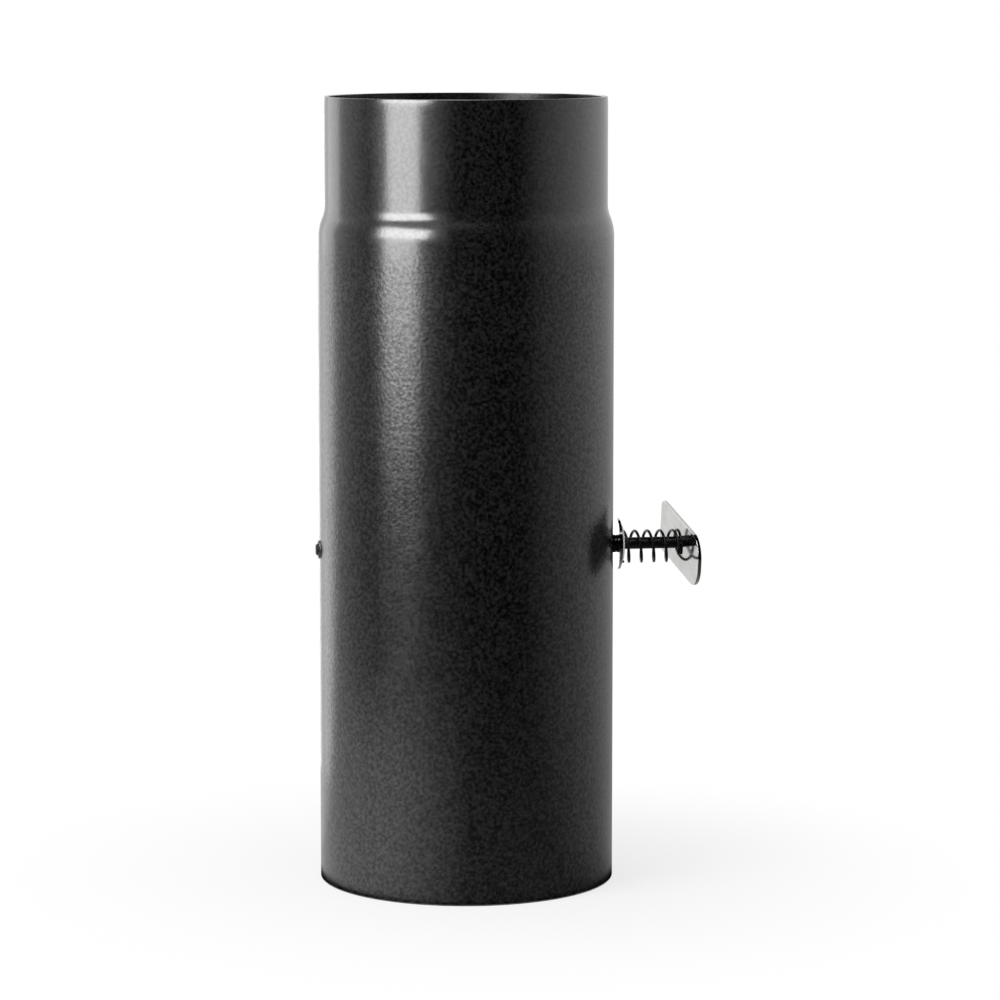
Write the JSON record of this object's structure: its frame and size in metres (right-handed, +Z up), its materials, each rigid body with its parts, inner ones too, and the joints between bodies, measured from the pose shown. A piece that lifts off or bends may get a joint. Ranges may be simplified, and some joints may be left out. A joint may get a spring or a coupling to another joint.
{
  "type": "stove pipe damper",
  "caption": "Straight single-wall flue pipe with a swaged spigot and a round damper blade, turned by a spring-loaded plate handle on a cross shaft.",
  "frame": {"origin": "on the pipe's axis at the open lower end, the plane it stands on", "axes": "+Z up along the pipe towards the spigot, +X along the shaft towards the handle"},
  "size_m": [0.1588, 0.124, 0.33],
  "materials": {
    "heat_paint": "satin black heat-resistant paint with a fine metallic grain",
    "dark_steel": "blackened steel",
    "sheet_steel": "mill-finish sheet steel",
    "zinc": "bright zinc plate"
  },
  "bodies": {
    "pipe": {"pipe_body": "heat_paint"},
    "spring_stack": {"thrust_washer": "zinc", "spring_washer": "zinc", "handle_spring": "dark_steel"},
    "damper": {"damper_shaft": "dark_steel", "damper_blade": "sheet_steel", "far_shaft_clip": "sheet_steel", "handle_side_shaft_clip": "sheet_steel", "clip_rivets": "dark_steel", "stop_washer": "zinc", "stop_split_pin": "zinc", "handle_plate": "zinc"}
  },
  "joints": [
    {"name": "damper_turn", "type": "hinge", "parent": "pipe", "child": "spring_stack", "pos_m": [0, 0, 0.1408], "axis": [1, 0, 0], "continuous": true},
    {"name": "handle_push", "type": "slide", "parent": "spring_stack", "child": "damper", "axis": [-1, 0, 0], "range_m": [0, 0.003], "stiffness_N_per_m": 900, "springref_m": -0.012, "deforming": ["handle_spring"]}
  ]
}
